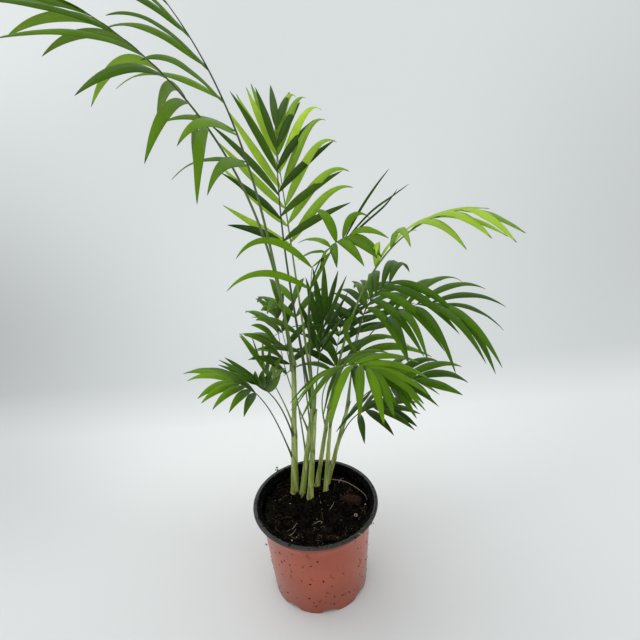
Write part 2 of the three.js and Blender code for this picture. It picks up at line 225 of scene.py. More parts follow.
# the fronds' greens, upper and under side; the deep green is also given to filler fronds in the middle of the
# clump as painted shade, and the young green is the pale green of young leaves, made paler still as painted
# light shining through them
leafTones = {
    "deep": {"top": (0.030, 0.078, 0.002), "under": (0.050, 0.110, 0.010)},
    "dark": {"top": (0.046, 0.124, 0.002), "under": (0.078, 0.170, 0.014)},
    "mid": {"top": (0.086, 0.205, 0.002), "under": (0.130, 0.250, 0.018)},
    "fresh": {"top": (0.130, 0.290, 0.002), "under": (0.180, 0.350, 0.024)},
    "young": {"top": (0.260, 0.460, 0.040), "under": (0.300, 0.520, 0.080)},
}


leafLook = {
    "darkest": 0.62, "brightest": (2.1, 1.7, 1.3), "vein": 1.5, "rib": 1.7, "cloud": 0.6, "clumpShade": 0.22,
    "veins": 46.0, "clumpMiddle": (0.012, 0.030, 0.262), "clumpFrom": 0.022, "clumpTo": 0.085,
    "dryTip": (0.055, 0.045, 0.035), "dryFrom": 0.93,
}


def leafFinish(name, base):
    look = leafLook
    material, tree, shader = startMaterial(name)
    across, along, spot = (readAttribute(tree, key) for key in ("leafAcross", "leafAlong", "leafSpot"))

    def toned(strength):
        return [min(1, c * strength) for c in base]

    # each leaf a little darker or yellower than the next
    brightest = [c * f for c, f in zip(base, look["brightest"])]
    tinted = mixColours(tree, spot, toned(look["darkest"]), brightest)
    veins = doMath(tree, "SINE", doMath(tree, "MULTIPLY", across, look["veins"]))
    veined = mixColours(tree, mapRange(tree, veins, 0.35, 1.0, 0.0, 0.35), tinted, toned(look["vein"]))
    rib = mapRange(tree, doMath(tree, "ABSOLUTE", across), 0.0, 0.07, 0.55, 0.0)
    ribbed = mixColours(tree, rib, veined, toned(look["rib"]))
    cloudy = useGroup(tree, grain, Scale=70.0, Seed=2.0)
    clouded = mixColours(tree, mapRange(tree, cloudy, 0.35, 0.7, 0.0, 0.35), ribbed, toned(look["cloud"]))
    # painted shade: leaves near the middle of the clump are darkened, standing in for the shade deep in the
    # clump
    reach = makeNode(tree, "ShaderNodeVectorMath", operation="DISTANCE")
    reach.inputs[1].default_value = look["clumpMiddle"]
    tree.links.new(objectPlace(tree), reach.inputs[0])
    inner = mapRange(tree, reach.outputs["Value"], look["clumpFrom"], look["clumpTo"], 0.8, 0.0)
    clumpShade = mixColours(tree, inner, clouded, toned(look["clumpShade"]))
    dry = mapRange(tree, along, look["dryFrom"], 0.99)
    tree.links.new(mixColours(tree, dry, clumpShade, look["dryTip"]), shader.inputs["Base Color"])
    shader.inputs["Roughness"].default_value = 0.40
    shader.inputs["Specular IOR Level"].default_value = 0.12
    shader.inputs["Subsurface Weight"].default_value = 0.12
    shader.inputs["Subsurface Radius"].default_value = (0.5, 1.0, 0.2)
    shader.inputs["Subsurface Scale"].default_value = 0.0015
    tree.links.new(bumpNormal(tree, veins, 0.25, 0.0002), shader.inputs["Normal"])
    return material


leafMaterials = {
    tone: (leafFinish(f"leaf_{tone}", colours["top"]), leafFinish(f"leaf_{tone}_under", colours["under"]))
    for tone, colours in leafTones.items()
}


def stalkFinish(name, foot, tip):
    material, tree, shader = startMaterial(name)
    base = mixColours(tree, mapRange(tree, readAttribute(tree, "along"), 0.0, 0.75), foot, tip)
    streaks = useGroup(tree, streak, Scale=240.0, Stretch=0.12, Detail=2.0)
    shade = mapRange(tree, streaks, 0.35, 0.65, 0.0, 0.5)
    tree.links.new(mixColours(tree, shade, base, [c * 0.55 for c in foot]), shader.inputs["Base Color"])
    shader.inputs["Roughness"].default_value = 0.42
    tree.links.new(bumpNormal(tree, streaks, 0.3, 0.0003), shader.inputs["Normal"])
    return material


stalkMaterials = {
    "pale": stalkFinish("stalk_pale", (0.26, 0.36, 0.08), (0.11, 0.20, 0.025)),
    "green": stalkFinish("stalk_green", (0.20, 0.30, 0.06), (0.018, 0.042, 0.010)),
    "dark": stalkFinish("stalk_dark", (0.06, 0.11, 0.03), (0.010, 0.022, 0.008)),
}


stemLook = {
    "foot": (0.70, 0.68, 0.36), "low": (0.58, 0.61, 0.18), "high": (0.36, 0.46, 0.14),
    "streak": (0.12, 0.21, 0.02), "dryEdge": (0.10, 0.085, 0.025), "fleck": (0.12, 0.08, 0.04),
}


def stemFinish():
    look = stemLook
    material, tree, shader = startMaterial("stem_green")
    along = readAttribute(tree, "along")
    green = mixColours(tree, mapRange(tree, along, 0.0, 0.9), look["low"], look["high"])
    pale = mixColours(tree, mapRange(tree, along, 0.0, 0.1, 1.0, 0.0), green, look["foot"])
    streaks = useGroup(tree, streak, Scale=330.0, Stretch=0.07, Detail=4.0)
    fibred = mixColours(tree, mapRange(tree, streaks, 0.42, 0.62, 0.0, 0.75), pale, look["streak"])
    # the upper edge of each sheath has dried brown
    edged = mixColours(tree, mapRange(tree, along, 0.95, 0.985, 0.0, 0.85), fibred, look["dryEdge"])
    flecks = useGroup(tree, speckle, Scale=260.0, Amount=0.28, Seed=4.0)
    tree.links.new(mixColours(tree, flecks, edged, look["fleck"]), shader.inputs["Base Color"])
    shader.inputs["Roughness"].default_value = 0.45
    tree.links.new(bumpNormal(tree, streaks, 0.35, 0.0004), shader.inputs["Normal"])
    return material


stemMaterial = stemFinish()


clayLook = {
    "deep": (0.345, 0.054, 0.018), "light": (0.41, 0.077, 0.030), "dust": (0.22, 0.07, 0.045),
    "footShade": (0.17, 0.030, 0.012), "footShadeHeight": 0.055,
}


def clayFinish():
    look = clayLook
    material, tree, shader = startMaterial("pot_clay_colour")
    cloudy = useGroup(tree, grain, Scale=28.0, Seed=7.0)
    base = mixColours(tree, mapRange(tree, cloudy, 0.35, 0.68), look["deep"], look["light"])
    fine = useGroup(tree, grain, Scale=900.0, Seed=1.0)
    dust = useGroup(tree, speckle, Scale=520.0, Amount=0.28, Seed=3.0)
    dusty = mixColours(tree, doMath(tree, "MULTIPLY", dust, 0.5), base, look["dust"])
    # painted shade: the wall is darkened towards its foot, standing in for the shade near the floor
    footShade = mapRange(tree, objectAxes(tree)["Z"], 0.0, look["footShadeHeight"], 0.55, 0.0)
    tree.links.new(mixColours(tree, footShade, dusty, look["footShade"]), shader.inputs["Base Color"])
    tree.links.new(mapRange(tree, fine, 0.3, 0.7, 0.26, 0.4), shader.inputs["Roughness"])
    shader.inputs["Coat Weight"].default_value = 0.25
    shader.inputs["Coat Roughness"].default_value = 0.25
    tree.links.new(bumpNormal(tree, fine, 0.12, 0.0002), shader.inputs["Normal"])
    return material


def blackFinish(name, low, high, shine):
    material, tree, shader = startMaterial(name)
    flecks = useGroup(tree, speckle, Scale=650.0, Amount=0.36, Seed=9.0)
    smear = useGroup(tree, grain, Scale=60.0, Seed=5.0)
    base = mixColours(tree, mapRange(tree, smear, 0.4, 0.75, 0.0, 0.5), low, high)
    flecked = mixColours(tree, doMath(tree, "MULTIPLY", flecks, 0.6), base, (0.15, 0.14, 0.13))
    tree.links.new(flecked, shader.inputs["Base Color"])
    tree.links.new(mapRange(tree, smear, 0.3, 0.7, 0.3, 0.5), shader.inputs["Roughness"])
    shader.inputs["Specular IOR Level"].default_value = shine
    return material


soilLook = {
    "wet": (0.0005, 0.0004, 0.0003), "dry": (0.0055, 0.0036, 0.0024),
    "patch": (0.016, 0.011, 0.007), "rust": (0.038, 0.019, 0.010),
}


def soilFinish():
    look = soilLook
    material, tree, shader = startMaterial("soil_dark")
    coarse = useGroup(tree, grain, Scale=330.0, Seed=6.0)
    fine = mixColours(tree, mapRange(tree, coarse, 0.35, 0.7), look["wet"], look["dry"])
    patches = useGroup(tree, grain, Scale=75.0, Seed=12.0)
    base = mixColours(tree, mapRange(tree, patches, 0.5, 0.66, 0.0, 0.6), fine, look["patch"])
    rusty = useGroup(tree, speckle, Scale=430.0, Amount=0.5, Seed=8.0)
    rusted = mixColours(tree, doMath(tree, "MULTIPLY", rusty, 0.6), base, look["rust"])
    tree.links.new(rusted, shader.inputs["Base Color"])
    shader.inputs["Roughness"].default_value = 0.75
    shader.inputs["Specular IOR Level"].default_value = 0.06
    tree.links.new(bumpNormal(tree, coarse, 0.8, 0.0012), shader.inputs["Normal"])
    return material


def litterFinish(name, low, high, roughness):
    material, tree, shader = startMaterial(name)
    patches = useGroup(tree, grain, Scale=500.0, Seed=3.0)
    base = mixColours(tree, mapRange(tree, patches, 0.35, 0.65), low, high)
    tree.links.new(base, shader.inputs["Base Color"])
    shader.inputs["Roughness"].default_value = roughness
    shader.inputs["Specular IOR Level"].default_value = 0.15
    tree.links.new(bumpNormal(tree, patches, 0.4, 0.0004), shader.inputs["Normal"])
    return material


clayMaterial = clayFinish()
rimMaterial = blackFinish("pot_black", (0.017, 0.017, 0.018), (0.050, 0.047, 0.043), 0.5)
# painted shade: a near-black finish with almost no shine for the inside of the pot below the lip
shadedInsideMaterial = blackFinish("pot_black_shaded_inside", (0.0006, 0.0005, 0.0005), (0.0012, 0.0010, 0.0009), 0.02)
soilMaterial = soilFinish()
barkMaterial = litterFinish("bark", (0.010, 0.004, 0.002), (0.045, 0.018, 0.010), 0.85)
mossMaterial = litterFinish("moss_threads", (0.060, 0.050, 0.016), (0.20, 0.15, 0.06), 0.7)
fibreMaterial = litterFinish("fibre", (0.28, 0.21, 0.12), (0.56, 0.48, 0.34), 0.6)
feedMaterial = litterFinish("feed_ring", (0.40, 0.33, 0.19), (0.55, 0.47, 0.30), 0.6)
whiteMaterial = litterFinish("white_grain", (0.60, 0.57, 0.50), (0.80, 0.78, 0.72), 0.6)
print("stage: finishes made")


potForm = {
    "height": 103, "rimRadius": 60, "shoulderRadius": 53, "baseRadius": 46.5, "rimBand": 2.4,
    "notches": 8, "notchTurn": 7, "notchWidth": 17, "notchHeight": 3.6, "notchReach": 6,
    "floorLift": 3.9, "around": 128,
}


def wallRadius(z):
    part = z / potForm["height"]
    return potForm["baseRadius"] + (potForm["shoulderRadius"] - potForm["baseRadius"]) * part


def spinOutline(outline, steps):
    # turns an outline of radius and height about the upright axis
    bm = bmesh.new()
    points = [bm.verts.new((radius * mm, 0, z * mm)) for radius, z in outline]
    edges = [bm.edges.new(pair) for pair in zip(points, points[1:])]
    bmesh.ops.spin(bm, geom=points + edges, cent=(0, 0, 0), axis=(0, 0, 1), angle=2 * math.pi,
                   steps=steps, use_merge=True)
    bmesh.ops.remove_doubles(bm, verts=bm.verts, dist=1e-6)
    return bm


def liftNotches(bm):
    # the foot rises in a low arch between each two feet
    f = potForm
    step = 2 * math.pi / f["notches"]
    halfWidth = f["notchWidth"] / 2 / f["baseRadius"]
    for vert in bm.verts:
        z = vert.co.z / mm
        if z > f["notchReach"] or vert.co.xy.length / mm < f["baseRadius"] - 2.2:
            continue
        turn = math.atan2(vert.co.y, vert.co.x) - math.radians(f["notchTurn"])
        gap = abs((turn + step / 2) % step - step / 2) / halfWidth
        arch = f["notchHeight"] * (1 - gap ** 4) if gap < 1 else 0
        vert.co.z += arch * (1 - z / f["notchReach"]) * mm


def wallPoints(inset, *heights):
    return [(wallRadius(z) - inset, z) for z in heights]


def buildPotOuter():
    f = potForm
    base, lift, under = f["baseRadius"], f["floorLift"], f["height"] - f["rimBand"] - 0.5
    underside = [(0, lift), (20, lift), (36, lift), (base - 1.9, lift)]
    foot = [(base - 1.5, lift - 0.8), (base - 1.4, 0.4), (base - 1.1, 0), (base - 0.4, 0), (base, 0.4)]
    wall = wallPoints(0, 1.2, 2.4, 4, 6, 14, 30, 50, 70, 84, 89.4)
    # two low turned rings under the rim
    rings = wallPoints(-0.45, 90, 90.8) + wallPoints(0, 91.4, 94.2) + wallPoints(-0.35, 94.7, 95.6)
    rings += wallPoints(0, 96.2, under)
    inner = wallPoints(0.6, under, 50, 8)
    floor = [(wallRadius(lift) - 0.7, lift + 1.1), (30, lift + 1.1), (0, lift + 1.1)]
    bm = spinOutline(underside + foot + wall + rings + inner + floor, f["around"])
    liftNotches(bm)
    piece = pieceFrom("potOuter", bm, "pot_outside", clayMaterial)
    piece.data.set_sharp_from_angle(angle=math.radians(40))
    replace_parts(piece, "pot")


def buildPotLiner():
    f = potForm
    top, rim = f["height"], f["rimRadius"]
    ledge = top - f["rimBand"]
    under = [(wallRadius(ledge) + 0.1, ledge), (rim - 0.7, ledge), (rim - 0.2, ledge + 0.3)]
    edge = [(rim, ledge + 0.8), (rim, top - 0.9), (rim - 0.2, top - 0.4), (rim - 0.7, top - 0.1)]
    edge.append((rim - 1.4, top))
    lip = [(rim - 2.4, top), (rim - 3.6, top - 0.2), (rim - 4.6, top - 0.8), (rim - 5.2, top - 1.5),
           (rim - 7.4, top - 2), (rim - 8.4, top - 2.8), (rim - 8.8, top - 4)]
    floor, thick = f["floorLift"] + 2, 0.7
    inner = wallPoints(1.5, 96, 90, 60, 30, 7.4) + [(wallRadius(6) - 4, floor), (0, floor)]
    back = [(0, floor - thick), (wallRadius(6) - 3, floor - thick)]
    back += wallPoints(0.8, 7.4, 30, 60, 90, ledge - 0.4)
    bm = spinOutline(back + under + edge + lip + inner, f["around"])
    for face in bm.faces:
        # painted shade: the inside, below the rounded lip, takes a near-black finish standing in for the
        # shade in the pot
        face.material_index = int(face.calc_center_median().xy.length < (rim - 4) * mm)
    piece = pieceFrom("potLiner", bm, "pot_inside", rimMaterial, shadedInsideMaterial)
    piece.data.set_sharp_from_angle(angle=math.radians(45))
    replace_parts(piece, "pot")


buildPotOuter()
buildPotLiner()
print("stage: pot made")


soilForm = {
    "level": 93, "hump": 1.6, "ripple": 0.8, "rings": 46, "around": 144, "gap": 1.7,
    "rough": 2.4, "lumpScale": 0.16, "grit": 0.35, "gritScale": 0.9,
}


def soilHeight(x, y):
    f = soilForm
    hump = f["hump"] * np.sin(0.09 * x + 0.7) * np.cos(0.08 * y)
    ripple = f["ripple"] * np.sin(0.31 * x + 0.24 * y)
    return f["level"] + hump + ripple


def soilTop(x, y):
    f = soilForm
    lumps = noise.fractal(Vector((x * f["lumpScale"], y * f["lumpScale"], 3.0)), 0.7, 2.1, 4)
    grit = noise.noise(Vector((x * f["gritScale"], y * f["gritScale"], 8.0)))
    return soilHeight(x, y) + f["rough"] * lumps + f["grit"] * grit


def buildSoil():
    f = soilForm
    edge = wallRadius(f["level"]) - f["gap"]
    outline = [(0, 8), (wallRadius(8) - 6, 8), (wallRadius(30) - 3, 30)]
    outline += [(edge * part, f["level"]) for part in np.linspace(1, 0, f["rings"] + 1)]
    bm = spinOutline(outline, f["around"])
    for vert in bm.verts:
        if vert.co.z > 0.08:
            x, y = vert.co.x / mm, vert.co.y / mm
            vert.co.z = (soilTop(x, y) if math.hypot(x, y) < edge - 0.2 else soilHeight(x, y) - 0.5) * mm
    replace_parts(pieceFrom("soilBed", bm, "soil", soilMaterial), "soil")


def blobShape():
    bm = bmesh.new()
    bmesh.ops.create_icosphere(bm, subdivisions=1, radius=1)
    points = np.array([vert.co for vert in bm.verts])
    faces = np.array([[vert.index for vert in face.verts] for face in bm.faces])
    bm.free()
    return points, faces


def joinedMesh(name, blocks, faces):
    # one mesh from many copies of the same faces, each with its own points
    count = len(blocks[0])
    points = np.concatenate(blocks)
    allFaces = np.concatenate([faces + count * i for i in range(len(blocks))])
    mesh = bpy.data.meshes.new(name)
    mesh.from_pydata(points.tolist(), [], allFaces.tolist())
    return mesh


def roughened(shape, rand, most, size):
    bumps = [rand.uniform(-most, most) * size for _ in range(shape.size)]
    return shape + np.array(bumps).reshape(shape.shape)


def scatterPoint(rand, reach):
    angle = rand.uniform(0, 2 * math.pi)
    return onCircle(reach * math.sqrt(rand.random()), angle)


litter = {
    "soilCrumbs": {"count": 900, "low": 0.5, "high": 3.0, "flat": 0.8, "seed": 11, "finish": soilMaterial},
    "soilBark": {"count": 90, "low": 0.5, "high": 2.0, "flat": 0.45, "seed": 12, "finish": barkMaterial},
    "soilGrains": {"count": 34, "low": 0.3, "high": 0.9, "flat": 0.8, "seed": 13, "finish": whiteMaterial},
}


def scatterLitter(name, form):
    rand = random.Random(form["seed"])
    base, faces = blobShape()
    reach = (wallRadius(soilForm["level"]) - 2.2) * 0.97
    blocks = []
    for _ in range(form["count"]):
        x, y = scatterPoint(rand, reach)
        size = form["low"] + (form["high"] - form["low"]) * rand.random() ** 3
        stretch = [size * rand.uniform(0.7, 1.4), size * rand.uniform(0.6, 1.1)]
        stretch.append(size * form["flat"] * rand.uniform(0.6, 1.2))
        shape = roughened(base * np.array(stretch), rand, 0.22, size)
        spin = Matrix.Rotation(rand.uniform(0, 6.28), 3, "Z")
        tip = Matrix.Rotation(rand.uniform(-0.5, 0.5), 3, "X")
        shape = shape @ np.array(spin @ tip).T
        blocks.append((shape + np.array([x, y, soilTop(x, y) + size * form["flat"] * 0.35])) * mm)
    finishPiece(name, joinedMesh(name, blocks, faces), [form["finish"]])


stemForm = {
    "flare": 0.12, "flareReach": 7, "taper": 0.56, "sunk": 2.5, "soil": 93, "sides": 28, "rings": 40,
    "ridge": 0.16, "fineRidge": 0.10,
}

stems = {
    "a": {"x": -20, "y": 25.5, "heading": 0, "tilt": 4, "height": 150, "radius": 4},
    "b": {"x": -12.5, "y": 21, "heading": 20, "tilt": 10, "height": 112, "radius": 3.2},
    "c": {"x": -5, "y": 15.5, "heading": 0, "tilt": 6, "height": 105, "radius": 3.5},
    "d": {"x": 3, "y": 32, "heading": 0, "tilt": 10, "height": 96, "radius": 2.9},
    "e": {"x": 11, "y": 22.5, "heading": 340, "tilt": 6, "height": 85, "radius": 2.7},
    "f": {"x": 14, "y": 35, "heading": 342, "tilt": 14, "height": 105, "radius": 2.6},
}

# the stalk: how far up the stem it leaves and on which side, its heading and how that veers, how steeply
# it rises, how far and how late it arches over, its bare length, its roll and its finish
stalkColumns = ("at", "side", "heading", "veer", "rise", "arch", "power", "petiole", "roll", "stalk")
# the blade: its length, its longest leaf, how late leaves droop, the twist of each row, pairs of leaves,
# their width, how far they turn to the sky and their finish
bladeColumns = ("blade", "leaf", "hang", "twist", "pairs", "width", "skyward", "tone")
# each row of leaves, right and then left: sweep at the foot and the tip, lift, and droop at both
rowColumns = ("sweep", "lift", "droop")

frondTable = {
    "a1": [(144, 150, 187, -7, 88, 52, 1.7, 224, -3, "green"), (107, 106, 0.5, (-45, 18), 6, 9.5, 0.6, "mid"),
           ((41, 8), 21, (1.9, 0.7)), ((63, 8), 9, (1.3, 0.6))],
    "a2": [(150, 199, 203, -11, 85, 27, 2.7, 184, -17, "green"), (122, 98, 1.5, (34, 30), 6, 9.5, 0.6, "mid"),
           ((77, 8), -22, (1, 1)), ((58, 8), -45, (1.1, 0.6))],
    "c5": [(95, 200, 345, 7, 89, 7, 2.2, 134, -25, "green"), (20, 98, 1.5, (18, 30), 2, 6.5, 0.6, "mid"),
           ((40, 56), 10, (0.2, 0.2)), ((65, 50), 60, (1.6, 1.6))],
    "b1": [(102, 250, 107, -23, 78, 39, 0.5, 157, -14, "dark"), (129, 90, 0.4, (0, 0), 6, 8.5, 0.1, "deep"),
           ((52, 8), 24, (0.5, 0.5)), ((73, 8), 45, (0.5, 0.5))],
    "d1": [(96, 322, 322, -11, 76, 58, 2.4, 165, 5, "pale"), (101, 64, 0.5, (-8, -8), 5, 8, 0.6, "young"),
           ((28, 22), 60, (1.2, 1.2)), ((30, 8), 60, (1, 1))],
    "e1": [(85, 350, 349, -1, 73, 88, 2.9, 121, -1, "green"), (59, 98, 1.1, (-20, -20), 6, 7, 0.6, "dark"),
           ((51, 58), 22, (1.3, 1.3)), ((60, 29), 9, (1.1, 1.1))],
    "a5": [(46, 200, 202, -2, 76, 43, 3.1, 89, -1, "dark"), (27, 61, 1.2, (18, 18), 5, 8, 0.6, "mid"),
           ((33, 29), -2, (1, 1)), ((52, 25), -7, (0.6, 0.6))],
    "f2": [(70, 350, -24, -5, 75, 62, 1.2, 62, 0, "green"), (47, 69, 1.4, (-20, -20), 5, 9, 0.6, "dark"),
           ((99, 23), 10, (0.3, 0.3)), ((84, 30), 10, (1.2, 1.2))],
    "b2": [(112, 84, 96, -1, 52, 13, 1.5, 150, -8, "pale"), (121, 96, 2.9, (0, 0), 7, 9.5, 0.1, "young"),
           ((52, 22), 43, (1.2, 1.2)), ((63, 15), 28, (0, 0))],
    "c1": [(105, 330, 331, 3, 91, 71, 3.8, 162, -18, "green"), (28, 42, 0.4, (-18, -18), 5, 8, 0.6, "mid"),
           ((45, 17), 50, (1.2, 1.2)), ((93, 42), 60, (1.2, 1.2))],
    "d2": [(70, 320, 337, 4, 100, 112, 1.7, 70, -15, "pale"), (41, 89, 0.4, (-22, -22), 7, 9, 0.6, "mid"),
           ((60, 60), 60, (1, 1)), ((71, 8), 60, (1.4, 1.4))],
    "f1": [(105, 345, 347, 0, 84, 50, 3.3, 102, -21, "green"), (33, 91, 0.7, (-24, -24), 5, 7.5, 0.6, "dark"),
           ((51, 29), 7, (1.1, 1.1)), ((59, 60), 9, (1.4, 1.4))],
    "b3": [(75, 150, 160, -2, 73, -27, 1.9, 64, -9, "green"), (73, 77, 0.4, (15, 15), 6, 8, 0.6, "mid"),
           ((66, 26), -37, (1.3, 1.3)), ((19, 36), -2, (0.7, 0.7))],
    "c2": [(84, 60, 38, 0, 84, 10, 1.2, 78, 0, "green"), (34, 60, 1.2, (0, 0), 4, 7.5, 0.6, "dark"),
           ((34, 8), 8, (0.15, 0.15)), ((36, 10), 8, (0.2, 0.2))],
    "f3": [(31, 10, -7, -8, 77, 75, 2.3, 63, 3, "dark"), (26, 51, 1.1, (-18, -18), 4, 8, 0.6, "deep"),
           ((68, 18), 3, (0.7, 0.7)), ((49, 15), -9, (0.9, 0.9))],
    "a4": [(72, 235, 229, -1, 75, 30, 1.8, 71, -3, "dark"), (20, 45, 1.6, (22, 22), 5, 8, 0.6, "dark"),
           ((57, 15), 21, (0.4, 0.4)), ((37, 18), 27, (0.2, 0.2))],
    "a3": [(84, 140, 169, 3, 77, 13, 1, 50, -26, "pale"), (20, 47, 1.5, (22, 22), 5, 6, 0.6, "fresh"),
           ((56, 25), 7, (0.5, 0.5)), ((54, 23), 32, (0.4, 0.4))],
    "c3": [(58, 285, 306, 8, 90, 90, 1.8, 124, 0, "pale"), (40, 64, 0.8, (-8, -8), 7, 8.5, 0.6, "mid"),
           ((100, 30), 30, (1.7, 1.5)), ((85, 15), 20, (1.3, 1.3))],
    "c4": [(66, 120, 95, 0, 70, 40, 1.6, 88, 3, "green"), (52, 54, 1.2, (0, 0), 4, 7.5, 0.6, "mid"),
           ((60, 20), 12, (0.8, 0.8)), ((60, 20), 12, (0.8, 0.8))],
    "b4": [(46, 110, 104, 0, 76, 40, 1.6, 92, 0, "green"), (48, 48, 1.4, (0, 0), 4, 7.5, 0.6, "dark"),
           ((58, 20), 4, (0.7, 0.7)), ((58, 20), 4, (0.7, 0.7))],
    "f4": [(88, 60, 66, 0, 60, 56, 1.8, 80, -3, "green"), (62, 58, 1.1, (0, 0), 7, 8.5, 0.6, "deep"),
           ((58, 20), 8, (0.9, 0.9)), ((58, 20), 8, (0.9, 0.9))],
    "e2": [(50, 80, 72, 0, 70, 50, 1.6, 84, 0, "green"), (52, 54, 1.2, (0, 0), 6, 8.5, 0.6, "deep"),
           ((58, 20), 6, (0.8, 0.8)), ((58, 20), 6, (0.8, 0.8))],
}


def readFrond(name, stalk, blade, right, left):
    frond = {"stem": name[0], **dict(zip(stalkColumns, stalk)), **dict(zip(bladeColumns, blade))}
    frond["right"], frond["left"] = (dict(zip(rowColumns, row)) for row in (right, left))
    return frond


fronds = {name: readFrond(name, *parts) for name, parts in frondTable.items()}


def stemPoint(stem, along):
    lean = heading(stem["heading"], 90 - stem["tilt"])
    return np.array([stem["x"], stem["y"], stemForm["soil"]]) + lean * along


def stemRadius(stem, along):
    taper = 1 - stemForm["taper"] * math.sqrt(max(0, along) / stem["height"])
    flare = stemForm["flare"] * math.exp(-max(0, along) / stemForm["flareReach"])
    return stem["radius"] * (taper + flare)


def tubeTemplate(sides, rings, capped=True):
    # an upright tube of unit radius from 0 to 1, cut into even rings
    bm = bmesh.new()
    bmesh.ops.create_cone(bm, segments=sides, radius1=1, radius2=1, depth=1, cap_ends=capped)
    upright = [edge for edge in bm.edges if abs(edge.verts[0].co.z - edge.verts[1].co.z) > 0.5]
    bmesh.ops.subdivide_edges(bm, edges=upright, cuts=rings - 1, use_grid_fill=True)
    bmesh.ops.translate(bm, verts=bm.verts, vec=(0, 0, 0.5))
    return bm


def shapeTube(bm, placeAt):
    # placeAt(part, angle) gives a point in millimetres; the part gone is kept for the finish
    layer = bm.verts.layers.float.new("along")
    for vert in bm.verts:
        part, angle = min(1, max(0, vert.co.z)), math.atan2(vert.co.y, vert.co.x)
        vert[layer] = part
        vert.co = Vector(placeAt(part, angle) * mm)
    return bm


def stemFrame(stem):
    lean = heading(stem["heading"], 90 - stem["tilt"])
    side = unit(np.cross(lean, np.array([0, 1, 0.0])))
    return side, np.cross(side, lean)


def buildStem(name, stem):
    f = stemForm
    side, front = stemFrame(stem)
    reach = stem["height"] + f["sunk"]
    phase = random.Random(name).uniform(0, 6)

    def placeAt(part, angle):
        along = reach * part ** 1.4 - f["sunk"]
        radius = stemRadius(stem, along)
        # overlapping sheaths leave low ridges that wind up the stem
        broad = f["ridge"] * math.cos(3 * angle + along * 0.05 + phase)
        radius += broad + f["fineRidge"] * math.cos(7 * angle - along * 0.03)
        if part == 1:
            radius *= 0.8
        return stemPoint(stem, along) + (side * math.cos(angle) + front * math.sin(angle)) * radius

    bm = shapeTube(tubeTemplate(f["sides"], f["rings"]), placeAt)
    for frond in fronds.values():
        if frond["stem"] == name:
            addSheath(bm, stem, frond)
    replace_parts(pieceFrom(f"stem_{name}_skin", bm, "stem_sheath", stemMaterial), f"stem_{name}")


sheathForm = {
    "reach": 44, "rise": 5, "notch": 26, "gap": 0.1, "wall": 0.25, "loose": 0.3, "sides": 28, "rings": 16,
}


def addSheath(target, stem, frond):
    # a sleeve round the stem under the frond's foot, cut down to a notch on the far side
    f = sheathForm
    side, front = stemFrame(stem)
    out = heading(frond["side"], 0)
    zero = math.atan2(out @ front, out @ side)
    top = min(frond["at"], stem["height"] - 2)
    reach = min(f["reach"], max(8, top - 2))
    layers = []
    for extra in (f["gap"] + f["wall"], f["gap"]):

        def placeAt(part, angle, extra=extra):
            away = abs((angle - zero + math.pi) % (2 * math.pi) - math.pi) / math.pi
            rim = top + f["rise"] * (1 - away) - f["notch"] * away ** 2.2 * reach / f["reach"]
            along = top - reach + (rim - (top - reach)) * part
            loose = extra * min(1, 0.25 + part * 2) + f["loose"] * part ** 3 * (1 - 0.5 * away)
            radius = stemRadius(stem, along) + loose
            return stemPoint(stem, along) + (side * math.cos(angle) + front * math.sin(angle)) * radius

        layers.append(shapeTube(tubeTemplate(f["sides"], f["rings"], capped=False), placeAt))
    bmesh.ops.reverse_faces(layers[1], faces=layers[1].faces)
    both = bmesh.new()
    pourInto(both, *layers)
    rims = [edge for edge in both.edges if edge.is_boundary]
    bmesh.ops.bridge_loops(both, edges=[edge for edge in rims if isTop(edge, stem, top - reach)])
    bmesh.ops.bridge_loops(both, edges=[edge for edge in both.edges if edge.is_boundary])
    pourInto(target, both)


def isTop(edge, stem, bottom):
    lean = heading(stem["heading"], 90 - stem["tilt"])
    foot = np.array([stem["x"], stem["y"], stemForm["soil"]])
    middle = np.array((edge.verts[0].co + edge.verts[1].co) / 2) / mm
    return (middle - foot) @ lean > bottom + 1.5


ribForm = {
    "foot": 1.7, "neck": 0.9, "tip": 0.35, "sides": 10, "spacing": 6, "swell": 1.1, "swellReach": 7,
    "full": 300, "slimmest": 0.55, "channel": 0.22,
}
axisSteps = 24


def frondAxis(frond):
    stem = stems[frond["stem"]]
    length = frond["petiole"] + frond["blade"]
    onTip = frond["at"] >= stem["height"]
    out = heading(frond["side"], 0) * (0 if onTip else stemRadius(stem, frond["at"]) - 0.4)
    point = stemPoint(stem, frond["at"]) + out
    stations = []

    def turn(part):
        slope = frond["rise"] - frond["arch"] * part ** frond["power"]
        return heading(frond["heading"] + frond["veer"] * part, slope)

    roll = math.radians(frond["roll"])
    cos, sin = math.cos(roll), math.sin(roll)
    for i in range(axisSteps + 1):
        tangent = turn(i / axisSteps)
        level = heading(frond["heading"] + frond["veer"] * i / axisSteps - 90, 0)
        side = unit(level - (level @ tangent) * tangent)
        normal = np.cross(side, tangent)
        side, normal = side * cos + normal * sin, normal * cos - side * sin
        stations.append((point.copy(), tangent, side, normal))
        point = point + turn((i + 0.5) / axisSteps) * length / axisSteps
    return length, stations


def axisAt(axis, along):
    length, stations = axis
    place = min(max(along / length, 0), 1) * axisSteps
    index = min(int(place), axisSteps - 1)
    part = place - index
    near, far = stations[index], stations[index + 1]
    point = near[0] * (1 - part) + far[0] * part
    # a smooth curve through the stations rather than straight chords
    bow = part * (1 - part) * length / axisSteps / 2
    point = point + (near[1] - far[1]) * bow * 0.5
    return point, *(unit(near[k] * (1 - part) + far[k] * part) for k in (1, 2, 3))


leafForm = {
    "along": 22, "across": 6, "thickness": 0.28, "steps": 30, "tailStart": 0.88, "tail": 0.045, "foot": 0.10,
    "fold": 0.28, "ripple": 0.05, "unevenAngle": 4, "unevenTwist": 14,
}


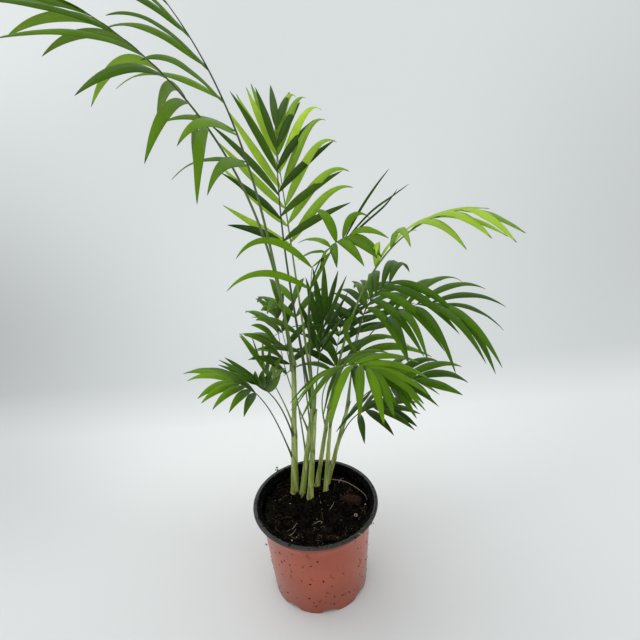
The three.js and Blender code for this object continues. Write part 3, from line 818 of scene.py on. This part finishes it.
def leafTemplate():
    # a flat grid, across from -1 to 1 and along from 0 to 1
    bm = bmesh.new()
    bmesh.ops.create_grid(bm, x_segments=leafForm["across"], y_segments=leafForm["along"], size=1)
    bm.verts.ensure_lookup_table()
    grid = np.array([(vert.co.x, (vert.co.y + 1) / 2) for vert in bm.verts])
    faces = np.array([[vert.index for vert in face.verts] for face in bm.faces])
    bm.free()
    return grid, faces


leafGrid, leafFaces = leafTemplate()


def leafOutline(u):
    # half width along a leaf, 1 at the widest: a pinched foot, a long body and a hair-like tail
    body = np.sin(math.pi * np.clip(u, 0, 1) ** 0.82) ** 0.8 * (1 - 0.22 * u)
    foot = leafForm["foot"] * np.exp(-u * 14)
    tail = leafForm["tail"] * np.clip((1 - u) / (1 - leafForm["tailStart"]), 0.25, 1)
    return np.maximum(body, np.maximum(foot, tail))


def carryFace(face, ends):
    # the face direction at each step of a leaf, carried along the bend without spin
    faces = np.empty_like(ends)
    for k, end in enumerate(ends):
        face = unit(face - (end @ face) * end)
        faces[k] = face
    return faces


def leafPoints(frond, axis, q, hand, rand):
    point, tangent, side, normal = axisAt(axis, frond["petiole"] + frond["blade"] * q)
    row = frond["right" if hand > 0 else "left"]
    uneven, wobble = leafForm["unevenAngle"], leafForm["unevenTwist"]
    sweepAt = row["sweep"][0] + (row["sweep"][1] - row["sweep"][0]) * q
    sweep = math.radians(sweepAt + rand.uniform(-uneven, uneven))
    lift = math.radians(row["lift"] + rand.uniform(-uneven, uneven))
    outward = side * hand * math.cos(lift) + normal * math.sin(lift)
    start = tangent * math.cos(sweep) + outward * math.sin(sweep)
    swell = math.sin(math.pi * (0.15 + 0.8 * q))
    length = frond["leaf"] * (0.72 + 0.28 * swell) * rand.uniform(0.95, 1.04)
    droop = (row["droop"][0] + (row["droop"][1] - row["droop"][0]) * q) * rand.uniform(0.88, 1.12)
    steps = leafForm["steps"]
    parts = (np.arange(steps) + 0.5) / steps
    headings = unit(start - np.array([0, 0, 1.0]) * (droop * parts ** frond["hang"])[:, None])
    line = np.vstack([point, point + np.cumsum(headings * length / steps, axis=0)])
    ends = np.vstack([headings[:1], unit(headings[:-1] + headings[1:]), headings[-1:]])
    # a leaf turns its upper face partly to the sky, and keeps it through the bend
    face = normal * (1 - frond["skyward"]) + np.array([0, 0, frond["skyward"]])
    faces = carryFace(face, ends)
    twist = frond["twist"][0 if hand > 0 else 1]
    turn = twist + rand.uniform(-wobble, wobble) * np.linspace(0, 1, steps + 1)
    return leafSurface(line, ends, faces, turn, frond["width"], rand.uniform(0, 6))


def leafSurface(line, ends, faces, turn, width, wave):
    # the leaf's grid laid along its line, turned about it by the given angles
    twist = np.radians(turn)[:, None]
    wide = np.cross(ends, faces)
    wide, faces = wide * np.cos(twist) + faces * np.sin(twist), faces * np.cos(twist) - wide * np.sin(twist)

    steps = len(line) - 1
    across, u = leafGrid[:, 0], leafGrid[:, 1]
    place = u * steps
    index = np.minimum(place.astype(int), steps - 1)
    part = (place - index)[:, None]

    def blend(values):
        return values[index] * (1 - part) + values[index + 1] * part

    half = (width / 2 * leafOutline(u))[:, None]
    # folded down a little on both sides of the rib, with a slight ripple along the edges
    fold = -leafForm["fold"] * np.abs(across)[:, None] * half
    waves = np.sin(u * 16 + wave + across * 1.2)[:, None]
    ripple = leafForm["ripple"] * half * waves * np.abs(across)[:, None]
    return blend(line) + blend(wide) * across[:, None] * half + blend(faces) * (fold + ripple)


def buildLeaves(name, frond, axis, nodes):
    rand = random.Random(f"leaves {name}")
    blocks, spots = [], []
    pairs = frond["pairs"]
    for i in range(pairs):
        for hand in (1, -1):
            q = min(1, i / (pairs - 1) * 0.975 + (0.025 if hand > 0 else 0))
            blocks.append(leafPoints(frond, axis, q, hand, rand) * mm)
            spots.append(rand.random())
    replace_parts(leafPiece(f"leaves_{name}", blocks, spots, frond["tone"]), *nodes)


def leafPiece(name, blocks, spots, tone):
    mesh = joinedMesh(name, blocks, leafFaces)
    count = len(leafGrid)
    for key, values in (("leafAcross", np.tile(leafGrid[:, 0], len(blocks))),
                        ("leafAlong", np.tile(leafGrid[:, 1], len(blocks))),
                        ("leafSpot", np.repeat(spots, count))):
        mesh.attributes.new(key, "FLOAT", "POINT").data.foreach_set("value", values.astype(np.float32))
    piece = finishPiece(name, mesh, leafMaterials[tone])
    thickness = piece.modifiers.new("thickness", "SOLIDIFY")
    thickness.thickness = leafForm["thickness"] * mm
    thickness.offset = 0
    thickness.material_offset = 1  # the under side has its own finish
    thickness.use_even_offset = False
    return piece


def buildRib(name, frond, axis, nodes):
    f = ribForm
    length = axis[0]
    neck = frond["petiole"] / length
    slim = min(1, max(f["slimmest"], length / f["full"]))

    def placeAt(part, angle):
        along = length * part
        if part < neck:
            radius = f["foot"] + (f["neck"] - f["foot"]) * (part / neck) ** 0.6
        else:
            radius = f["neck"] + (f["tip"] - f["neck"]) * (part - neck) / (1 - neck)
        radius = slim * (radius + f["swell"] * math.exp(-along / f["swellReach"]))
        point, _, side, normal = axisAt(axis, along)
        # the stalk's upper side is slightly channelled
        flat = 1 - f["channel"] * max(0, math.sin(angle)) ** 4
        return point + (side * math.cos(angle) + normal * math.sin(angle) * flat) * radius

    bm = shapeTube(tubeTemplate(f["sides"], int(length / f["spacing"])), placeAt)
    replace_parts(pieceFrom(f"rib_{name}", bm, "frond_stalk", stalkMaterials[frond["stalk"]]), *nodes)


def buildFrond(name, frond):
    axis = frondAxis(frond)
    cadNodes = [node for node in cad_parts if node.startswith(f"frond_{name}_")]
    buildRib(name, frond, axis, [node for node in cadNodes if "_stalk" in node])
    buildLeaves(name, frond, axis, [node for node in cadNodes if "_blade" in node])


# single leaves that don't belong to a full row: points in millimetres from foot to tip
singleLeaves = {
    "spears": {
        "tone": "deep", "width": 2.1, "turn": 10,
        "lines": [
            [(38, 0, 368), (52, 9, 388), (66, 17, 404), (77, 24, 414)],
            [(40, 0, 368), (56, 8, 378), (72, 15, 388), (83, 22, 398)],
            [(41, 0, 370), (60, 10, 385), (78, 20, 393), (93, 29, 399)],
        ],
    },
    "tendrils": {
        "tone": "mid", "width": 0.9, "turn": 0,
        "lines": [
            [(-27, 15, 278), (-11, 17, 285), (2, 17, 287), (16, 16, 286), (38, 16, 286)],
        ],
    },
    "smallPale": {
        "tone": "mid", "width": 6, "turn": 60,
        "lines": [
            [(16, 10, 287), (11, 6, 279), (12, 2, 270), (17, -1, 262)],
            [(44, 9, 296), (37, 6, 288), (39, 1, 277), (46, -5, 266)],
        ],
    },
}


def curvePoints(points, count):
    # a smooth curve through a few points, cut into even parts of the list
    points = [np.array(point, float) for point in points]
    last = len(points) - 1
    curve = []
    for place in np.linspace(0, last, count):
        i = min(int(place), last - 1)
        t = place - i
        before, start, end, after = (points[min(max(k, 0), last)] for k in (i - 1, i, i + 1, i + 2))
        curve.append(start + 0.5 * t * (end - before + t * (2 * before - 5 * start + 4 * end - after
                     + t * (3 * (start - end) + after - before))))
    return np.array(curve)


def buildSingleLeaves(name, data):
    rand = random.Random(name)
    blocks, spots = [], []
    for points in data["lines"]:
        line = curvePoints(points, leafForm["steps"] + 1)
        ends = unit(np.gradient(line, axis=0))
        faces = carryFace(np.array([0, -0.5, 0.85]), ends)
        turn = np.full(len(line), data["turn"] * rand.choice((-1, 1)))
        blocks.append(leafSurface(line, ends, faces, turn, data["width"], rand.uniform(0, 6)) * mm)
        spots.append(rand.random())
    leafPiece(f"leaves_{name}", blocks, spots, data["tone"])


def strandTube(target, points, thick):
    # a thin round thread through a few points, joined into the target
    line = curvePoints(points, 15)

    def placeAt(part, angle):
        place = part * (len(line) - 1)
        i = min(int(place), len(line) - 2)
        point = line[i] * (1 - place + i) + line[i + 1] * (place - i)
        tangent = unit(line[i + 1] - line[i])
        side = unit(np.cross(tangent, np.array([0.1, 0.2, 1.0])))
        around = side * math.cos(angle) + np.cross(side, tangent) * math.sin(angle)
        return point + around * thick * (1 - 0.4 * part)

    pourInto(target, shapeTube(tubeTemplate(6, 14), placeAt))


fibreForm = {
    "short": 12, "onSoil": 70, "onRim": 34, "onWall": 14, "low": 3, "high": 12, "thick": 0.2,
    "reach": 51, "inner": 48, "seed": 31,
}

# the longest root threads: their points in millimetres and their thickness
longRoots = [
    ([(17, 36, 95.5), (30, 30, 97), (41, 21, 96), (49, 10, 95.5), (50.5, 4, 94)], 0.3),
    ([(13, -6, 96), (16, -2, 96.5), (18, 3, 96)], 0.2),
    ([(37, -43, 98), (36, -46, 102.5), (38, -47, 103.8), (39, -49.5, 102)], 0.36),
]


def wanderingThread(rand, x, y, rise):
    # a loose thread lying on the soil, four points long
    f = fibreForm
    length = rand.uniform(f["low"], f["high"])
    course = rand.uniform(0, 2 * math.pi)
    points = []
    for k in range(4):
        points.append((x, y, soilTop(x, y) + 0.4 + rise * (k in (1, 2))))
        course += rand.uniform(-0.9, 0.9)
        x += math.cos(course) * length / 3
        y += math.sin(course) * length / 3
        far = max(1, math.hypot(x, y) / f["reach"])
        x, y = x / far, y / far
    return points


def buildRoots(rand):
    # a few long pale roots and some short ones
    f = fibreForm
    roots = bmesh.new()
    for points, thick in longRoots:
        strandTube(roots, points, thick)
    for _ in range(f["short"]):
        strandTube(roots, wanderingThread(rand, *scatterPoint(rand, f["inner"]), 0.5), f["thick"] * 1.2)
    pieceFrom("rootFibres", roots, "soil", fibreMaterial)


def buildMoss(rand):
    # fine brown threads over the soil, the rim and the wall
    f = fibreForm
    moss = bmesh.new()
    for k in range(f["onSoil"]):
        # half of the threads gather along the front of the soil
        if k % 2:
            angle = math.radians(rand.gauss(-85, 45))
            x, y = onCircle(rand.uniform(38, 51), angle)
        else:
            x, y = scatterPoint(rand, f["inner"])
        strandTube(moss, wanderingThread(rand, x, y, 0.8), f["thick"])
    for _ in range(f["onRim"]):
        turn = math.radians(rand.gauss(-85, 60))
        points = []
        for radius, z in ((54.6, 100.5), (56.5, 103.2), (58.5, 103.3), (60.3, 102.4)):
            points.append((*onCircle(radius, turn), z + rand.uniform(0, 0.4)))
            turn += rand.uniform(-0.04, 0.04)
        strandTube(moss, points[:rand.choice((3, 4))], f["thick"])
    for _ in range(f["onWall"]):
        turn, z = math.radians(rand.gauss(-60, 60)), rand.uniform(20, 94)
        points = []
        for _ in range(4):
            points.append((*onCircle(wallRadius(z) + 0.3, turn), z))
            turn += rand.uniform(-0.05, 0.05)
            z -= rand.uniform(0.8, 2.6)
        strandTube(moss, points, f["thick"])
    pieceFrom("mossThreads", moss, "soil", mossMaterial)


wallDirt = {
    "crumbs": 420, "low": 0.16, "high": 1.05, "front": -85, "spread": 75, "seed": 21,
    # small clumps that stick out from the rim and the wall: x, y, z and size in millimetres
    "clumps": [(-36.5, 47.5, 104.2, 1.5), (50.5, -31, 99, 1.1), (-50.5, -14, 66, 0.9),
               (-26, -52.5, 103.6, 1.2), (33, -50, 102.5, 1.3), (41, -43.5, 101.8, 1.0)],
}


def buildWallDirt():
    # crumbs of soil stuck to the outside of the pot and to its rim, most at the front and low down
    f = wallDirt
    rand = random.Random(f["seed"])
    base, faces = blobShape()
    blocks = []

    def settle(shape, place, first, second, third):
        # lays a crumb's three sides along three directions
        sides = shape[:, :1] * first + shape[:, 1:2] * second + shape[:, 2:] * third
        blocks.append((place + sides) * mm)

    up = np.array([0, 0, 1.0])
    for i in range(f["crumbs"]):
        onRim = i % 5 == 0
        turn = rand.uniform(0, 360) if onRim else rand.gauss(f["front"], f["spread"])
        size = f["low"] + (f["high"] - f["low"]) * rand.random() ** 3.5
        outward, around = heading(turn, 0), heading(turn + 90, 0)
        stretch = [rand.uniform(0.8, 2.2), rand.uniform(0.25, 0.5), rand.uniform(0.5, 0.9)]
        shape = roughened(base * np.array(stretch) * size, rand, 0.2, size)
        lean = rand.uniform(0, math.pi)
        if onRim:
            settle(shape, outward * rand.uniform(56.5, 59.4) + up * potForm["height"], around, up, outward)
        else:
            z = 3 + 88 * rand.random() ** 1.4
            first = around * math.cos(lean) + up * math.sin(lean)
            third = up * math.cos(lean) - around * math.sin(lean)
            settle(shape, outward * (wallRadius(z) + 0.05) + up * z, first, outward, third)
    for x, y, z, size in f["clumps"]:
        for _ in range(9):
            shape = base * np.array([rand.uniform(0.4, 1.0) for _ in range(3)]) * size * 0.6
            place = np.array([x, y, z]) + np.array([rand.gauss(0, 0.6) for _ in range(3)]) * size
            blocks.append((shape + place) * mm)
    finishPiece("wallDirt", joinedMesh("wallDirt", blocks, faces), [barkMaterial])


chunkForm = {"size": (10.5, 5.2, 2.4), "place": (37, 6, 93.7), "turn": -24, "tip": 9}


def buildBarkChunk():
    # one large flat chunk of bark right of the stems
    f = chunkForm
    bm = bmesh.new()
    bmesh.ops.create_icosphere(bm, subdivisions=4, radius=1)
    for vert in bm.verts:
        rough = noise.noise(vert.co * 1.6) * 0.5 + noise.noise(vert.co * Vector((3, 9, 6))) * 0.2
        vert.co *= 1 + rough
    bmesh.ops.scale(bm, verts=bm.verts, vec=[side * mm for side in f["size"]])
    turn, tip = (Matrix.Rotation(math.radians(f[key]), 4, way) for key, way in (("turn", "Z"), ("tip", "X")))
    place = Matrix.Translation(Vector(f["place"]) * mm)
    bmesh.ops.transform(bm, matrix=place @ (turn @ tip), verts=bm.verts)
    pieceFrom("barkChunk", bm, "soil", barkMaterial)


beadForm = {
    "middle": 1.3, "thick": 0.38, "x": 37, "y": -17, "lift": 1.7, "tip": 0.35, "sides": 10, "around": 24,
}


def buildRingBead():
    # a tiny pale ring of slow-release feed lying on the soil
    f = beadForm
    bm = bmesh.new()
    angles = np.linspace(0, 2 * math.pi, f["sides"], endpoint=False)
    circle = [bm.verts.new(((f["middle"] + f["thick"] * math.cos(a)) * mm, 0, f["thick"] * math.sin(a) * mm))
              for a in angles]
    edges = [bm.edges.new(pair) for pair in zip(circle, circle[1:] + circle[:1])]
    bmesh.ops.spin(bm, geom=circle + edges, cent=(0, 0, 0), axis=(0, 0, 1), angle=2 * math.pi,
                   steps=f["around"], use_merge=True)
    bmesh.ops.remove_doubles(bm, verts=bm.verts, dist=1e-6)
    place = Vector((f["x"], f["y"], soilTop(f["x"], f["y"]) + f["lift"])) * mm
    turn = Matrix.Rotation(f["tip"], 4, "X")
    bmesh.ops.transform(bm, matrix=Matrix.Translation(place) @ turn, verts=bm.verts)
    pieceFrom("ringBead", bm, "soil", feedMaterial)


buildSoil()
for litterName, litterForm in litter.items():
    scatterLitter(litterName, litterForm)
fibreRand = random.Random(fibreForm["seed"])
buildRoots(fibreRand)
buildMoss(fibreRand)
buildWallDirt()
buildBarkChunk()
buildRingBead()
print("stage: soil made")

for stemName, stemData in stems.items():
    buildStem(stemName, stemData)
print("stage: stems made")

for frondName, frondData in fronds.items():
    buildFrond(frondName, frondData)
for leafName, leafData in singleLeaves.items():
    buildSingleLeaves(leafName, leafData)
print("stage: fronds made")


studio = {
    "floorRadius": 60, "wall": (0.718, 0.748, 0.743), "floor": (0.785, 0.805, 0.80),
    "skyLow": (0.745, 0.768, 0.767), "skyHigh": (0.772, 0.782, 0.792),
    "seam": (0.64, 0.75), "floorRoughness": 0.9,
    "camera": (0, -0.461, 0.548), "pitch": 28.3, "yaw": 1.92, "roll": -3.64, "lens": 36,
    # each sun: which way it stands, how high, its strength and how soft its shadows are
    "suns": {"sunKey": (125, 62, 0.5, 50), "sunFill": (250, 48, 0.2, 70)},
}

# soft pools of light and shade on the paper: how far across and down it they lie, their reach and strength
pools = {
    "wall": [
        {"across": -0.70, "down": 0.52, "wide": 0.60, "tall": 0.44, "tone": 0.62},
        {"across": 0.66, "down": 0.38, "wide": 0.50, "tall": 0.70, "tone": 0.82},
        {"across": -0.42, "down": 0.02, "wide": 0.40, "tall": 0.22, "tone": 1.14},
        {"across": 0.0, "down": 0.44, "wide": 0.34, "tall": 0.30, "tone": 1.05},
    ],
    "floor": [
        {"across": 0.02, "down": 0.80, "wide": 0.66, "tall": 0.30, "tone": 1.22},
        {"across": -0.72, "down": 0.74, "wide": 0.46, "tall": 0.50, "tone": 0.84},
    ],
}


def paperPlace(tree):
    # how far across and down the paper a point lies, as seen from the front at the camera's height
    axes = objectAxes(tree)
    away = doMath(tree, "MAXIMUM", doMath(tree, "SUBTRACT", axes["Y"], studio["camera"][1]), 0.25)
    return doMath(tree, "DIVIDE", axes["X"], away), doMath(tree, "DIVIDE", studio["camera"][2], away)


def poolMask(tree, across, down, pool):
    offsets = [doMath(tree, "DIVIDE", doMath(tree, "SUBTRACT", value, pool[key]), pool[reach])
               for value, key, reach in ((across, "across", "wide"), (down, "down", "tall"))]
    squares = doMath(tree, "ADD", *(doMath(tree, "MULTIPLY", offset, offset) for offset in offsets))
    node = makeNode(tree, "ShaderNodeMapRange", interpolation_type="SMOOTHSTEP")
    tree.links.new(doMath(tree, "SQRT", squares), node.inputs[0])
    node.inputs[3].default_value, node.inputs[4].default_value = 1, 0
    return node.outputs[0]


def poolColour(tree, across, down, part):
    colour = studio[part]
    for pool in pools[part]:
        shade = mixColours(tree, poolMask(tree, across, down, pool), (1, 1, 1), (pool["tone"],) * 3)
        colour = mixColours(tree, 1.0, colour, shade, blend="MULTIPLY")
    return colour


def buildFloor():
    bm = bmesh.new()
    bmesh.ops.create_circle(bm, cap_ends=True, segments=96, radius=studio["floorRadius"])
    mesh = meshFrom(bm, "floor", outward=False)
    floor = bpy.data.objects.new("floor", mesh)
    scene.collection.objects.link(floor)
    material, tree, shader = startMaterial("floor_paper")
    across, down = paperPlace(tree)
    wall, ground = (poolColour(tree, across, down, part) for part in ("wall", "floor"))
    # painted shade: the far part of the paper takes the darker wall tone of an upright backdrop that is not
    # built
    seam = mapRange(tree, down, *studio["seam"])
    tree.links.new(mixColours(tree, seam, wall, ground), shader.inputs["Base Color"])
    shader.inputs["Roughness"].default_value = studio["floorRoughness"]
    shader.inputs["Specular IOR Level"].default_value = 0.1
    mesh.materials.append(material)


def buildSun(name, turn, rise, strength, softness):
    data = bpy.data.lights.new(name, "SUN")
    data.energy = strength
    data.angle = math.radians(softness)
    lamp = bpy.data.objects.new(name, data)
    lamp.rotation_euler = Vector(-heading(turn, rise)).to_track_quat("-Z", "Y").to_euler()
    scene.collection.objects.link(lamp)


def buildCamera():
    pitch, yaw, roll = (math.radians(studio[key]) for key in ("pitch", "yaw", "roll"))
    forward = Vector((math.sin(yaw) * math.cos(pitch), math.cos(yaw) * math.cos(pitch), -math.sin(pitch)))
    right = Vector((math.cos(yaw), -math.sin(yaw), 0))
    up = right.cross(forward)
    right, up = right * math.cos(roll) + up * math.sin(roll), up * math.cos(roll) - right * math.sin(roll)
    data = bpy.data.cameras.new("camera")
    data.lens = studio["lens"]
    data.sensor_width = 36
    data.clip_start = 0.01
    camera = bpy.data.objects.new("camera", data)
    turn = Matrix((right, up, -forward)).transposed().to_4x4()
    camera.matrix_world = Matrix.Translation(studio["camera"]) @ turn
    scene.collection.objects.link(camera)
    scene.camera = camera


def buildWorld():
    world = bpy.data.worlds.new("studio")
    world.use_nodes = True
    tree = world.node_tree
    background = tree.nodes["Background"]
    place = makeNode(tree, "ShaderNodeTexCoord")
    split = makeNode(tree, "ShaderNodeSeparateXYZ")
    tree.links.new(place.outputs["Generated"], split.inputs[0])
    rise = mapRange(tree, split.outputs["Z"], 0.0, 0.6)
    tree.links.new(mixColours(tree, rise, studio["skyLow"], studio["skyHigh"]), background.inputs["Color"])
    scene.world = world


buildFloor()
buildWorld()
for sunName, sunForm in studio["suns"].items():
    buildSun(sunName, *sunForm)
buildCamera()
scene.view_settings.view_transform = "Standard"
print("stage: studio made")
